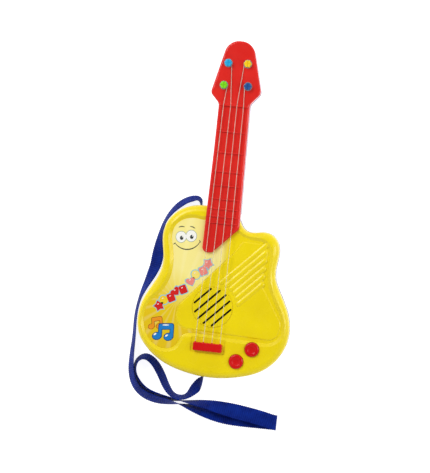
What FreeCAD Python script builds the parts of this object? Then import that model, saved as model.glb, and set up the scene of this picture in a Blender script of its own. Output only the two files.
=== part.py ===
"""Toy electric guitar with a webbing strap, lying on its back.

Millimetres. +Y runs up the neck, +Z is the front (string) side and +X is to the
right as the strings are looked at. Positions are measured from the tail of the
body on the neck's axis, and every piece is moved by ORIGIN when it is saved, so
that the saved frame has its origin under the middle of the guitar's box.
"""
import FreeCAD, Part
import math
import os

# ---------------------------------------------------------------- sizes
ORIGIN = FreeCAD.Vector(2.26, 218.89, 0)

SPLIT_Z = 16.0          # parting line of the two body shells
RIM_Z = 37.0            # crown of the body's rim
FLOOR_Z = 34.0          # sunk floor that carries the label
SUNK_SLOPE = 4.5        # width of the soft slope round the sunk floor
PLATE_Z = 35.0          # raised speaker plate inside the sunk floor
SKIN_Z = 31.8           # underside of the front skin
WALL = 2.4              # side wall of both body shells
BACK_LIP = 0.1          # how far the back shell stands out past the front one
RIM_ROUND = 9.0         # rounding of the front rim
BACK_ROUND = 4.5        # rounding round the back
BACK_SKIN = 2.4         # floor of the rear shell

NECK_BOTTOM = 14.0
NECK_SPLIT = 27.0
NECK_TOP = 39.5
FRET_SUNK = 1.2         # depth of the fingerboard between its two side rims
FRET_Y = (201, 209.3, 219.4, 232.3, 249.7, 267.5, 292.3, 319.6)
NUT_Y = 354.5

RIB_ANGLE = 46.0        # the diagonal of the slots and ribs, from +X
GRILLE = (-0.6, 91.6)
GRILLE_R = 26.0
GROOVE = 0.7            # width of the ring groove round the grille
SLOT_REACH = 24.8       # the slots' ends lie on a circle of this radius
SLOT_PITCH = 9.3
SLOT_SHIFT = 1.0
SLOT_WIDTH = 2.6
RIB_PITCH = 7.1
RIB_WIDTH = 6.7
RIB_HEIGHT = 1.2
RIB_COUNT = 6
RIB_START = 34.0        # the ribs begin on a circle of this radius

BUTTONS = {"button_upper": (56.2, 43.0), "button_lower": (37.5, 25.3)}
BUTTON_R = 9.4
BUTTON_FIT = 0.35
BUTTON_TOP = 40.4

BRIDGE = (-1.1, 39.7)
BRIDGE_SIZE = (37.8, 10.8)
BRIDGE_TOP = 42.6

STRING_R = 0.4
BRIDGE_STRING_X = (-17.4, -7.0, 4.2, 15.0)
NUT_STRING_X = (-13.9, -4.6, 3.5, 12.1)
STRING_PEGS = ("peg_green", "peg_light_blue", "peg_yellow", "peg_navy")

PEGS = {"peg_light_blue": (-13.6, 408.1), "peg_yellow": (11.6, 409.1),
        "peg_green": (-16.3, 379.1), "peg_navy": (14.8, 380.2)}
PEG_R = 4.8
PEG_SHAFT_R = 2.0
PEG_FIT = 0.05
COLLAR_R = 5.6
COLLAR_Z = NECK_TOP + 1.1
CLIP_Z = 35.2

BODY_SCREWS = ((-78, 72), (-52, 22), (10, 12), (74, 32), (90, 66), (-64, 150),
               (68, 150), (-58, 196), (64, 182))
SCREW_SEAT_Z = 8.0
SCREW_R = 1.45
HEEL_SCREWS = ((-9, 182), (7, 199))
NECK_SCREWS = ((0, 246), (0, 312), (0, 366), (0, 422))
NECK_SEAT_Z = 20.0

SPEAKER_RIM_Z = 30.2
SPEAKER_SCREW_RING = 27.6

BOARD_Z = 20.4
BOARD_TOP = 22.0
BOARD_SCREWS = ((26, 47), (73, 47), (26, 19))
DOME_TOP = 26.5

BATTERY_BOX = (-27.0, 122.0, 27.0, 180.5)
BOX_WALL = 1.6
CONTACT = 0.4
SPRING_ROOM = 4.0
CELL_R = 7.2
CELL_Z = 10.2
CAN_LENGTH = 49.0
NUB_LENGTH = 1.5
CELL_PITCH = 15.8
WIRE_HOLE = (12.0, 121.0, 14.0)
DOOR_SCREW = (0.0, 113.0)

SWITCH = (62.0, 92.0)
SWITCH_TRAVEL = 5.0

STRAP_WIDTH = 20.0
STRAP_THICK = 1.6
STRAP_SLOTS = ((-30.0, 218.0), (-4.0, 3.0))
STRAP_SLOT = (4.0, 14.0, 22.0)
STRAP_PINS = ((-30.0, 211.9), (-4.0, 9.1))


# ---------------------------------------------------------------- shapes
def vec(x, y, z=0.0):
    return FreeCAD.Vector(x, y, z)


def block(x0, y0, z0, x1, y1, z1):
    return Part.makeBox(x1 - x0, y1 - y0, z1 - z0, vec(x0, y0, z0))


def disc(x, y, radius, z0, z1):
    return Part.makeCylinder(radius, z1 - z0, vec(x, y, z0))


def ring(x, y, inner, outer, z0, z1):
    return disc(x, y, outer, z0, z1).cut(disc(x, y, inner, z0 - 1, z1 + 1))


def prism(wire, z0, z1):
    """Solid between z0 and z1 over a closed wire drawn at z = 0."""
    solid = Part.Face(wire).extrude(vec(0, 0, z1 - z0))
    solid.translate(vec(0, 0, z0))
    return solid


def smooth_wire(points):
    """Closed smooth outline through a few points."""
    curve = Part.BSplineCurve()
    curve.interpolate(Points=[vec(x, y) for x, y in points], PeriodicFlag=True)
    return Part.Wire([curve.toShape()])


def inset_wire(points, distance, samples=72):
    """The outline through the points (given anticlockwise), moved inwards by a distance."""
    curve = Part.BSplineCurve()
    curve.interpolate(Points=[vec(x, y) for x, y in points], PeriodicFlag=True)
    length = curve.length()
    moved = []
    for index in range(samples):
        at = curve.parameterAtDistance(length * index / samples, curve.FirstParameter)
        along = curve.tangent(at)[0]
        inwards = vec(-along.y, along.x)
        moved.append(curve.value(at) + inwards * distance)
    inner = Part.BSplineCurve()
    inner.interpolate(Points=moved, PeriodicFlag=True)
    return Part.Wire([inner.toShape()])


def rounded_wire(corners):
    """Closed outline of straight sides; each corner is (x, y, radius of its arc)."""
    count = len(corners)
    starts = []
    middles = []
    ends = []
    for index, (x, y, radius) in enumerate(corners):
        here = vec(x, y)
        back = vec(*corners[index - 1][:2]) - here
        onward = vec(*corners[(index + 1) % count][:2]) - here
        back.normalize()
        onward.normalize()
        half = back.getAngle(onward) / 2
        reach = radius / math.tan(half)
        middle = back + onward
        middle.normalize()
        starts.append(here + back * reach)
        middles.append(here + middle * (radius / math.sin(half) - radius))
        ends.append(here + onward * reach)
    edges = []
    for index in range(count):
        edges.append(Part.Arc(starts[index], middles[index], ends[index]).toShape())
        edges.append(Part.LineSegment(ends[index], starts[(index + 1) % count]).toShape())
    return Part.Wire(edges)


def rounded_box(x0, y0, x1, y1, radius, z0, z1):
    corners = [(x0, y0, radius), (x0, y1, radius), (x1, y1, radius), (x1, y0, radius)]
    return prism(rounded_wire(corners), z0, z1)


def bar(start, end, radius, z0, z1):
    """Flat bar with round ends between two points."""
    along = vec(end[0] - start[0], end[1] - start[1])
    side = vec(-along.y, along.x).normalize() * radius
    a = vec(*start)
    b = vec(*end)
    flat = Part.Wire(Part.makePolygon([a + side, b + side, b - side, a - side, a + side]).Edges)
    solid = prism(flat, z0, z1)
    return solid.fuse([disc(a.x, a.y, radius, z0, z1), disc(b.x, b.y, radius, z0, z1)])


def rod(points, radius, knuckle=1.0):
    """Round wire along straight runs; the ball at each bend is knuckle times as thick."""
    pieces = []
    for a, b in zip(points, points[1:]):
        pieces.append(Part.makeCylinder(radius, (b - a).Length, a, b - a))
    for bend in points[1:-1]:
        pieces.append(Part.makeSphere(radius * knuckle, bend))
    return pieces[0].fuse(pieces[1:]) if len(pieces) > 1 else pieces[0]


def coil(x, y, z, axis, radius, wire, pitch, turns):
    """Compression spring: one round wire along a helix."""
    height = pitch * turns
    path = Part.makeHelix(pitch, height, radius)
    section = Part.Wire([Part.Circle(vec(radius, 0, 0), vec(0, 1, 0), wire).toShape()])
    spring = Part.Wire(path).makePipeShell([section], True, True)
    turn = FreeCAD.Rotation(vec(0, 0, 1), axis)
    spring.Placement = FreeCAD.Placement(vec(x, y, z), turn)
    return spring


def edges_at(shape, z):
    return [edge for edge in shape.Edges
            if abs(edge.BoundBox.ZMin - z) < 0.01 and abs(edge.BoundBox.ZMax - z) < 0.01]


def diagonal(along, across):
    """The point that is so far along and across the slots' diagonal from the grille."""
    turn = math.radians(RIB_ANGLE)
    x = GRILLE[0] + along * math.cos(turn) - across * math.sin(turn)
    y = GRILLE[1] + along * math.sin(turn) + across * math.cos(turn)
    return x, y


def save(name, shape):
    moved = shape.copy()
    moved.translate(ORIGIN * -1)
    moved.exportStep("parts/" + name + ".step")
    print(name, moved.isValid(), len(moved.Solids), round(moved.Volume))


# ---------------------------------------------------------------- outlines
BODY = [(-12, 222.5), (-30, 221.8), (-46, 218.5), (-61, 209.5), (-71.5, 196), (-75.5, 180),
        (-73.8, 162), (-71.6, 144), (-74, 130), (-82.5, 112), (-92, 93.5), (-97, 70),
        (-93.5, 48), (-80, 29), (-58, 13.5), (-28, 3.5), (8, 0), (44, 5), (74, 17.5),
        (93, 38), (101.5, 66), (97.5, 92), (85, 118), (76.2, 138), (76.2, 155), (77.8, 172),
        (73, 187), (60, 195.3), (46, 194.2), (35, 194), (27, 199.5), (21, 210), (8, 220)]

SUNK = [(-30, 204), (-48, 202), (-59, 193.5), (-63, 183), (-60.3, 163), (-57.6, 141),
        (-61, 121), (-71, 103), (-84, 89), (-88.5, 71), (-84, 50), (-70, 35), (-55, 32),
        (-43, 38.5), (-36, 51), (-20, 55.5), (20, 54), (60, 53), (80, 54.5), (90, 64),
        (91.5, 78), (83, 98), (72, 118), (66.5, 136), (66.3, 155), (65, 172), (57, 181.5),
        (40, 184), (24, 190), (0, 204)]

PLATE = [(-46.5, 88, 9), (-48, 60.5, 17), (86, 56, 15), (91, 79, 14), (61.5, 125, 12),
         (60.5, 146, 30), (66, 180, 13), (30, 181, 6), (15.5, 160, 9)]

NECK = [(-22.0, 161.0, 7), (-8.6, 162, 5), (23.4, 196, 5), (22.6, 232, 60),
        (19.8, 357.5, 9), (32.8, 373, 9), (15.8, 438.2, 19), (-16.5, 438, 19),
        (-32.8, 368, 8), (-20.6, 355.5, 9), (-20.6, 300, 60)]

PANEL = [(-16.6, 168, 4), (-7.4, 168, 4), (17.4, 196, 4), (17.0, 232, 60),
         (15.0, 352, 1.5), (-15.6, 352, 1.5)]


# ---------------------------------------------------------------- body shells
def sloped_prism(low_wire, high_wire, z0, z1):
    """Solid whose outline changes evenly from one wire at z0 to another at z1."""
    low = low_wire.copy()
    low.translate(vec(0, 0, z0))
    high = high_wire.copy()
    high.translate(vec(0, 0, z1))
    return Part.makeLoft([low, high], True, True)


def body_front_solid():
    """The yellow front as if solid: rounded rim, sunk floor and raised speaker plate."""
    solid = prism(smooth_wire(BODY), SPLIT_Z, RIM_Z)
    solid = solid.makeFillet(RIM_ROUND, edges_at(solid, RIM_Z))
    sunk = sloped_prism(inset_wire(SUNK, 0), inset_wire(SUNK, -SUNK_SLOPE), FLOOR_Z, RIM_Z)
    above = prism(inset_wire(SUNK, -SUNK_SLOPE), RIM_Z, RIM_Z + 5)
    solid = solid.cut([sunk, above])
    outline = rounded_wire(PLATE)
    plate = prism(outline, FLOOR_Z - 1, FLOOR_Z)
    slope = sloped_prism(outline, outline.makeOffset2D(-1.6), FLOOR_Z, PLATE_Z)
    return solid.fuse([plate, slope])


def ribs():
    """Low rounded ribs, side by side, between the grille and the plate's right side."""
    half = RIB_WIDTH / 2
    radius = (half ** 2 + RIB_HEIGHT ** 2) / (2 * RIB_HEIGHT)
    turn = math.radians(RIB_ANGLE)
    pieces = []
    for index in range(RIB_COUNT):
        across = -18.4 + RIB_PITCH * index
        start = math.sqrt(RIB_START ** 2 - across ** 2)
        end = (60.0 - GRILLE[0] + across * math.sin(turn)) / math.cos(turn)
        a = vec(*diagonal(start, across), PLATE_Z + RIB_HEIGHT - radius)
        b = vec(*diagonal(end, across), PLATE_Z + RIB_HEIGHT - radius)
        rib = Part.makeCylinder(radius, (b - a).Length, a, b - a)
        rib = rib.fuse([Part.makeSphere(radius, a), Part.makeSphere(radius, b)])
        pieces.append(rib.common(block(-200, 0, PLATE_Z - 0.3, 200, 440, 60)))
    return pieces


def grille_slots():
    pieces = []
    for index in range(-2, 3):
        across = SLOT_PITCH * index + SLOT_SHIFT
        half = math.sqrt(SLOT_REACH ** 2 - across ** 2) - SLOT_WIDTH / 2
        pieces.append(bar(diagonal(-half, across), diagonal(half, across),
                          SLOT_WIDTH / 2, 25, 45))
    return pieces


def strap_slots():
    wide, deep, tall = STRAP_SLOT
    return [block(x - wide / 2, y - deep / 2, SPLIT_Z - tall / 2,
                  x + wide / 2, y + deep / 2, SPLIT_Z + tall / 2) for x, y in STRAP_SLOTS]


def front_shell(solid):
    """Yellow front shell: hollow, with the grille, bridge seat, screw bosses and holes."""
    disc_top = disc(*GRILLE, GRILLE_R, PLATE_Z - 1, PLATE_Z + 0.5)
    disc_top = disc_top.makeFillet(0.45, edges_at(disc_top, PLATE_Z + 0.5))
    groove = ring(*GRILLE, GRILLE_R, GRILLE_R + GROOVE, PLATE_Z - 0.5, PLATE_Z + 3)
    x, y = BRIDGE
    seat = rounded_box(x - 22.5, y - 8.4, x + 22.5, y + 12.2, 3, RIM_Z - 1.0, RIM_Z + 3)
    cavity = prism(inset_wire(BODY, WALL), SPLIT_Z - 1, SKIN_Z)
    shell = solid.cut([seat, cavity])
    bosses = [disc(x, y, 3.6, SPLIT_Z, SKIN_Z + 0.5) for x, y in BODY_SCREWS]
    shell = shell.fuse(ribs() + bosses).cut(groove).fuse(disc_top)
    holes = [disc(x, y, 1.5, SPLIT_Z - 1, 28) for x, y in BODY_SCREWS]
    holes += [disc(x, y, BUTTON_R + BUTTON_FIT, SKIN_Z - 1, RIM_Z + 2)
              for x, y in BUTTONS.values()]
    holes += [disc(x, y, 1.55, SKIN_Z - 1, 42) for x, y in HEEL_SCREWS]
    holes += [disc(x, y, 1.2, SKIN_Z - 1, FLOOR_Z - 0.6) for x, y in speaker_screw_places()]
    return shell.cut(holes + grille_slots() + strap_slots())


def rear_shell():
    """Blue back shell with screw posts, battery box and switch opening."""
    shell = prism(inset_wire(BODY, -BACK_LIP), 0, SPLIT_Z)
    shell = shell.makeFillet(BACK_ROUND, edges_at(shell, 0))
    cavity = prism(inset_wire(BODY, WALL), BACK_SKIN, SPLIT_Z + 1)
    shell = shell.cut(cavity)
    posts = [disc(x, y, 4.6, 1, SPLIT_Z) for x, y in BODY_SCREWS]
    x0, y0, x1, y1 = BATTERY_BOX
    box = block(x0, y0, 0.5, x1, y1, 20)
    board_posts = [disc(x, y, 2.6, 1, BOARD_Z) for x, y in BOARD_SCREWS]
    pins = [disc(x, y, 3.6, 1, 5) for x, y in STRAP_PINS]
    shell = shell.fuse(posts + [box, disc(*DOOR_SCREW, 5.0, 1, 12)] + board_posts + pins)
    room = block(x0 + BOX_WALL, y0 + BOX_WALL, -1, x1 - BOX_WALL, y1 - BOX_WALL, 18.4)
    lid_seat = block(x0 - 2.2, DOOR_SCREW[1] - 6.2, -1, x1 + 2.2, y1 + 0.2, 2.3)
    backing = block(x0 - 4, DOOR_SCREW[1] - 8, 1, x1 + 4, y1 + 2, 4.4)
    shell = shell.fuse(backing).cut([room, lid_seat])
    cuts = []
    for x, y in BODY_SCREWS:
        cuts += [disc(x, y, 3.2, -1, SCREW_SEAT_Z), disc(x, y, 1.7, 0, SPLIT_Z + 1)]
    cuts += [disc(x, y, 1.2, 8, BOARD_Z + 1) for x, y in BOARD_SCREWS]
    cuts.append(disc(*DOOR_SCREW, 1.58, 0, 11))
    cuts.append(Part.makeCylinder(0.9, 4, vec(*WIRE_HOLE) - vec(0, 1, 0), vec(0, 1, 0)))
    sx, sy = SWITCH
    cuts.append(rounded_box(sx - 8, sy - 4, sx + 8, sy + 4, 1.5, -1, 1.2))
    cuts.append(rounded_box(sx - 5.2, sy - 2.2, sx + 5.2, sy + 2.2, 1, 0, 4))
    return shell.cut(cuts + strap_slots())


# ---------------------------------------------------------------- neck and head
def neck_front(body_solid):
    """Red fingerboard and headstock in one moulding, lying over the body's front."""
    outline = rounded_wire(NECK)
    solid = prism(outline, NECK_SPLIT, NECK_TOP)
    solid = solid.makeFillet(2.7, edges_at(solid, NECK_TOP))
    solid = solid.cut(body_solid)
    solid = solid.cut(prism(rounded_wire(PANEL), NECK_TOP - FRET_SUNK, NECK_TOP + 2))
    hollow = prism(outline.makeOffset2D(-2.2), NECK_SPLIT - 1, NECK_TOP - FRET_SUNK - 2.0)
    hollow = hollow.common(block(-60, 226, 0, 60, 440, 60))
    solid = solid.cut(hollow)
    bosses = [disc(x, y, 3.4, NECK_SPLIT, NECK_TOP - 2) for x, y in NECK_SCREWS]
    solid = solid.fuse(frets() + bosses + [nut()])
    holes = [disc(x, y, 1.5, NECK_SPLIT - 1, NECK_TOP - 4) for x, y in NECK_SCREWS]
    holes += [disc(x, y, 1.5, FLOOR_Z - 2, NECK_TOP - 2.2) for x, y in HEEL_SCREWS]
    holes += [disc(x, y, PEG_SHAFT_R + PEG_FIT, 30, 45) for x, y in PEGS.values()]
    return solid.cut(holes)


def frets():
    """Half-round fret bars moulded across the fingerboard."""
    pieces = []
    for y in FRET_Y:
        left = -19.4 + (y - 201) * 0.006
        right = 20.4 - (y - 201) * 0.02
        fret = Part.makeCylinder(1.2, right - left, vec(left, y, NECK_TOP - 0.45), vec(1, 0, 0))
        pieces.append(fret.common(block(-60, 0, NECK_TOP - 1.5, 60, 440, 60)))
    return pieces


def nut():
    solid = block(-18.9, NUT_Y - 2.0, NECK_TOP - 1.5, 18.2, NUT_Y + 2.0, NECK_TOP + 2.1)
    return solid.makeFillet(0.9, edges_at(solid, NECK_TOP + 2.1))


def neck_rear(body_solid, rear_solid):
    """Blue back of the neck and headstock."""
    outline = rounded_wire(NECK).makeOffset2D(-0.1)
    solid = prism(outline, NECK_BOTTOM, NECK_SPLIT)
    solid = solid.makeFillet(3.0, edges_at(solid, NECK_BOTTOM))
    solid = solid.common(block(-60, 215, 0, 60, 441, 60))
    solid = solid.cut([body_solid, rear_solid])
    inner = rounded_wire(NECK).makeOffset2D(-3.0)
    hollow = prism(inner, NECK_BOTTOM + 2.2, NECK_SPLIT + 1)
    solid = solid.cut(hollow.common(block(-60, 227, 0, 60, 441, 60)))
    posts = [disc(x, y, 4.2, NECK_BOTTOM + 1, NECK_SPLIT) for x, y in NECK_SCREWS]
    solid = solid.fuse(posts)
    cuts = []
    for x, y in NECK_SCREWS:
        cuts += [disc(x, y, 3.0, 0, NECK_SEAT_Z), disc(x, y, 1.6, 0, NECK_SPLIT + 1)]
    return solid.cut(cuts)


def peg(x, y):
    """Scalloped cap with crossed grooves, on a shaft that turns in the headstock."""
    base = COLLAR_Z + 0.3
    cap = disc(x, y, PEG_R, base, base + 4.6)
    cap = cap.makeFillet(1.2, edges_at(cap, base + 4.6))
    cuts = []
    for index in range(6):
        turn = math.radians(60 * index + 30)
        cuts.append(disc(x + 5.5 * math.cos(turn), y + 5.5 * math.sin(turn), 1.5,
                         base - 1, base + 6))
    cuts.append(block(x - 6, y - 0.4, base + 3.8, x + 6, y + 0.4, base + 6))
    cuts.append(block(x - 0.4, y - 6, base + 3.8, x + 0.4, y + 6, base + 6))
    return cap.cut(cuts).fuse(disc(x, y, PEG_SHAFT_R, 34.2, base + 1))


# ---------------------------------------------------------------- front trim
def front_label():
    """Printed foil on the sunk floor, left of the speaker plate."""
    sheet = prism(inset_wire(SUNK, 0.3), FLOOR_Z, FLOOR_Z + 0.3)
    sheet = sheet.cut(prism(rounded_wire(PLATE).makeOffset2D(0.5), 30, 40))
    sheet = sheet.cut(block(13.0, 0, 30, 120, 230, 40))
    sheet = sheet.cut(prism(rounded_wire(NECK), 30, 45))
    return max(sheet.Solids, key=lambda piece: piece.Volume)


def bridge_cover():
    """Red block whose upper side the strings come out of."""
    width, depth = BRIDGE_SIZE
    x, y = BRIDGE
    solid = rounded_box(x - width / 2, y - depth / 2, x + width / 2, y + depth / 2, 1.8,
                        RIM_Z - 1.0, BRIDGE_TOP)
    solid = solid.makeFillet(1.2, edges_at(solid, BRIDGE_TOP))
    studs = []
    for string_x in BRIDGE_STRING_X:
        stud = Part.makeCylinder(1.1, 3.0, vec(string_x, y + depth / 2 - 2.0, BRIDGE_TOP - 1.6),
                                 vec(0, 1, 0))
        studs.append(stud)
    return solid.fuse(studs)


def string(index):
    """One thin plastic string from the bridge over the nut and into its peg's collar."""
    start = vec(BRIDGE_STRING_X[index], BRIDGE[1] + BRIDGE_SIZE[1] / 2, BRIDGE_TOP - 1.6)
    over_nut = vec(NUT_STRING_X[index], NUT_Y, NECK_TOP + 2.1 + STRING_R + 0.05)
    side = 1 if index < 2 else -1
    x, y = PEGS[STRING_PEGS[index]]
    end = vec(x + side * (COLLAR_R - 1.2), y, COLLAR_Z - STRING_R - 0.1)
    return rod([start, over_nut, end], STRING_R, 1.02)


# ---------------------------------------------------------------- speaker
def speaker_screw_places():
    places = []
    for degrees in (46, 136, 226, 316):
        turn = math.radians(degrees)
        places.append((GRILLE[0] + SPEAKER_SCREW_RING * math.cos(turn),
                       GRILLE[1] + SPEAKER_SCREW_RING * math.sin(turn)))
    return places


def speaker_frame():
    x, y = GRILLE
    rim = ring(x, y, 21.5, 25.0, SPEAKER_RIM_Z, SPEAKER_RIM_Z + 1.2)
    basket = Part.makeCone(13.0, 23.5, 6.6, vec(x, y, SPEAKER_RIM_Z - 6.6))
    basket = basket.cut(Part.makeCone(12.2, 22.7, 6.6, vec(x, y, SPEAKER_RIM_Z - 6.6)))
    plate = ring(x, y, 6.6, 13.0, SPEAKER_RIM_Z - 7.4, SPEAKER_RIM_Z - 6.6)
    terminals = block(6, 82, SPEAKER_RIM_Z - 7.4, 14, 86, SPEAKER_RIM_Z - 6.6)
    return rim.fuse([basket, plate, terminals])


def speaker_cone():
    x, y = GRILLE
    cone = Part.makeCone(6.0, 21.4, 5.2, vec(x, y, SPEAKER_RIM_Z - 4.6))
    cone = cone.cut(Part.makeCone(5.6, 21.0, 5.2, vec(x, y, SPEAKER_RIM_Z - 4.55)))
    cap = Part.makeSphere(9.0, vec(x, y, SPEAKER_RIM_Z - 11.1))
    cap = cap.cut(Part.makeSphere(8.5, vec(x, y, SPEAKER_RIM_Z - 11.1)))
    cap = cap.common(disc(x, y, 6.3, SPEAKER_RIM_Z - 5.0, SPEAKER_RIM_Z))
    coil_former = ring(x, y, 5.6, 6.0, SPEAKER_RIM_Z - 7.0, SPEAKER_RIM_Z - 4.4)
    return cone.fuse([cap, coil_former])


def speaker_clamps():
    """Four small lugs that hold the speaker's rim against the front skin."""
    pieces = []
    for x, y in speaker_screw_places():
        lug = disc(x, y, 4.2, SPEAKER_RIM_Z, SKIN_Z)
        lug = lug.cut(disc(*GRILLE, 25.0, 20, 35))
        lug = lug.fuse(disc(x, y, 4.2, SPEAKER_RIM_Z - 1.2, SPEAKER_RIM_Z))
        lug = lug.cut(disc(x, y, 1.4, 20, 40))
        basket_room = disc(*GRILLE, 24.0, SPEAKER_RIM_Z - 2, SPEAKER_RIM_Z)
        pieces.append(lug.cut(basket_room))
    return Part.makeCompound(pieces)


# ---------------------------------------------------------------- electronics
def circuit_board():
    """Board with one corner cut off to clear a screw post."""
    corners = [(20, 14, 2), (20, 53, 2), (79, 53, 2), (79, 45, 2), (48, 14, 2)]
    board = prism(rounded_wire(corners), BOARD_Z, BOARD_TOP)
    return board.cut([disc(x, y, 1.4, 10, 30) for x, y in BOARD_SCREWS])


def button(x, y):
    """Dished cap, retaining flange and a stem that presses on its rubber dome."""
    cap = disc(x, y, BUTTON_R, 30.0, BUTTON_TOP)
    cap = cap.makeFillet(2.0, edges_at(cap, BUTTON_TOP))
    dish = Part.makeSphere(18.0, vec(x, y, BUTTON_TOP - 0.9 + 18.0))
    flange = disc(x, y, BUTTON_R + 1.8, 30.0, SKIN_Z - 0.2)
    hollow = disc(x, y, BUTTON_R - 1.6, 29, BUTTON_TOP - 3.2)
    stem = disc(x, y, 3.2, DOME_TOP + 0.05, BUTTON_TOP - 2.4)
    return cap.cut(dish).fuse(flange).cut(hollow).fuse(stem)


def rubber_dome(x, y):
    """Silicone return dome with its skirt on the board."""
    skirt = ring(x, y, 4.6, 7.0, BOARD_TOP, BOARD_TOP + 0.8)
    slope = Part.makeCone(6.2, 4.0, 3.0, vec(x, y, BOARD_TOP + 0.7))
    slope = slope.cut(Part.makeCone(5.4, 3.2, 3.0, vec(x, y, BOARD_TOP + 0.65)))
    top = disc(x, y, 4.0, BOARD_TOP + 3.6, DOME_TOP)
    return skirt.fuse([slope, top])


def capacitors():
    pieces = []
    for x, y in ((58, 31), (50, 27)):
        pieces.append(disc(x, y, 3.1, BOARD_TOP, BOARD_TOP + 5.5))
    return Part.makeCompound(pieces)


def speaker_wires():
    pieces = []
    for shift in (0.0, 2.4):
        points = [vec(9.5 + shift, 83, 21.9), vec(17 + shift, 68, 25), vec(22 + shift, 55, 25),
                  vec(24 + shift, 50.5, BOARD_TOP + 0.5)]
        pieces.append(rod(points, 0.5))
    return Part.makeCompound(pieces)


def battery_wires():
    x, y = SWITCH
    to_switch = [vec(12, 123.4, 14), vec(12, 118, 14), vec(20, 111, 13), vec(48, 99, 13),
                 vec(x - 5, y, 12.6)]
    to_board = [vec(x + 5, y, 12.6), vec(70, 76, 15), vec(68, 57, 25),
                vec(66, 50.5, BOARD_TOP + 0.5)]
    return Part.makeCompound([rod(to_switch, 0.5), rod(to_board, 0.5)])


def screw(x, y, seat_z, up, head_r, head_h, shank_r, length):
    """Cross-recess screw; up is 1 when its shank points up from the seat, -1 when down."""
    head = disc(x, y, head_r, -head_h, 0)
    cross = block(-1.6, -0.35, -head_h - 1, 1.6, 0.35, -head_h * 0.5)
    other = block(-0.35, -1.6, -head_h - 1, 0.35, 1.6, -head_h * 0.5)
    cross.translate(vec(x, y))
    other.translate(vec(x, y))
    solid = head.cut([cross, other]).fuse(disc(x, y, shank_r, 0, length))
    if up < 0:
        solid = solid.mirror(vec(0, 0, 0), vec(0, 0, 1))
    solid.translate(vec(0, 0, seat_z))
    return solid


def screws(places, seat_z, up, head_r, head_h, shank_r, length):
    return Part.makeCompound([screw(x, y, seat_z, up, head_r, head_h, shank_r, length)
                              for x, y in places])


# ---------------------------------------------------------------- batteries
def cell_places():
    middle = (BATTERY_BOX[0] + BATTERY_BOX[2]) / 2
    return [middle + CELL_PITCH * index for index in (-1, 0, 1)]


def battery_cells():
    """Three cells side by side, the middle one the other way round."""
    start = BATTERY_BOX[1] + BOX_WALL + CONTACT
    pieces = []
    for index, x in enumerate(cell_places()):
        flipped = index == 1
        can_y = start + NUB_LENGTH if flipped else start + SPRING_ROOM
        nub_y = start if flipped else can_y + CAN_LENGTH
        can = Part.makeCylinder(CELL_R, CAN_LENGTH, vec(x, can_y, CELL_Z), vec(0, 1, 0))
        nub = Part.makeCylinder(2.7, NUB_LENGTH, vec(x, nub_y, CELL_Z), vec(0, 1, 0))
        pieces.append(can.fuse(nub))
    return Part.makeCompound(pieces)


def battery_contacts():
    pieces = []
    for x in cell_places():
        for y in (BATTERY_BOX[1] + BOX_WALL, BATTERY_BOX[3] - BOX_WALL - CONTACT):
            pieces.append(block(x - 5.5, y, 4.5, x + 5.5, y + CONTACT, 16))
    return Part.makeCompound(pieces)


def battery_springs():
    """A short coil spring behind each cell's flat end."""
    wire = 0.35
    pieces = []
    for index, x in enumerate(cell_places()):
        start = BATTERY_BOX[1] + BOX_WALL + CONTACT
        if index == 1:
            start += NUB_LENGTH + CAN_LENGTH
        pieces.append(coil(x, start + wire + 0.05, CELL_Z, vec(0, 1, 0), 3.6, wire, 1.0, 3.2))
    return Part.makeCompound(pieces)


def battery_door():
    x0, y0, x1, y1 = BATTERY_BOX
    lid = rounded_box(x0 - 1.9, DOOR_SCREW[1] - 5.9, x1 + 1.9, y1 - 0.1, 2.0, 0.3, 2.2)
    grips = [bar((-9, y), (9, y), 0.6, 0, 0.8) for y in (168, 171, 174)]
    return lid.cut(grips + [disc(*DOOR_SCREW, 1.7, 0, 4), disc(*DOOR_SCREW, 3.0, 0, 1.2)])


# ---------------------------------------------------------------- switch
def switch_slider():
    x, y = SWITCH
    knob = block(x - 4.6, y - 1.7, 0.6, x - 0.4, y + 1.7, 2.9)
    plate = block(x - 7.5, y - 3.6, 2.8, x - 7.5 + 2 * SWITCH_TRAVEL, y + 3.6, 3.8)
    grooves = [block(x - 3.8 + 1.3 * n, y - 3, 0, x - 3.4 + 1.3 * n, y + 3, 1.0) for n in range(3)]
    return knob.cut(grooves).fuse(plate)


def switch_body():
    x, y = SWITCH
    case = block(x - 9.5, y - 5, 4.1, x + 9.5, y + 5, 9)
    legs = [block(x + n * 5 - 0.5, y - 0.4, 9, x + n * 5 + 0.5, y + 0.4, 12) for n in (-1, 0, 1)]
    ears = [block(x - 13, y - 4, BACK_SKIN, x - 9.5, y + 4, 5.2),
            block(x + 9.5, y - 4, BACK_SKIN, x + 13, y + 4, 5.2)]
    return case.fuse(legs + ears)


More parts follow.
